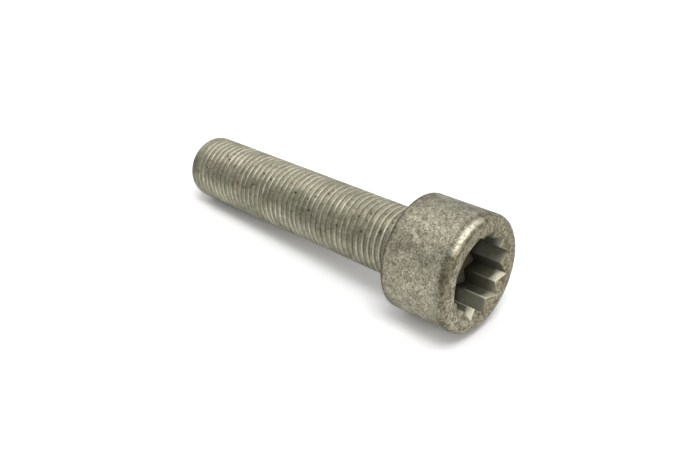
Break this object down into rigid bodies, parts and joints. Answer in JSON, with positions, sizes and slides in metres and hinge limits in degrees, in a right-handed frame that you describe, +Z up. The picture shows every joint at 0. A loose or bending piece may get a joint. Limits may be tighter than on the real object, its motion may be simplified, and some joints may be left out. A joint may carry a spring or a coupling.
{
  "type": "socket head cap screw",
  "caption": "Socket head cap screw with a multi-point socket and a fine thread up to the head, grey-plated steel, used and worn.",
  "frame": {"origin": "centre of the bearing face under the head, on the screw's axis", "axes": "+Z up as the screw lies on its side; its axis lies in the XZ plane, with the head towards +X and raised 4.11 degrees, because the screw rests on the rim of the head and on the end of the shank"},
  "size_m": [0.0547, 0.016, 0.0166],
  "materials": {
    "plated_steel": "dull grey-beige plating, mottled and worn"
  },
  "bodies": {
    "root": {"cap_screw": "plated_steel"}
  },
  "joints": []
}
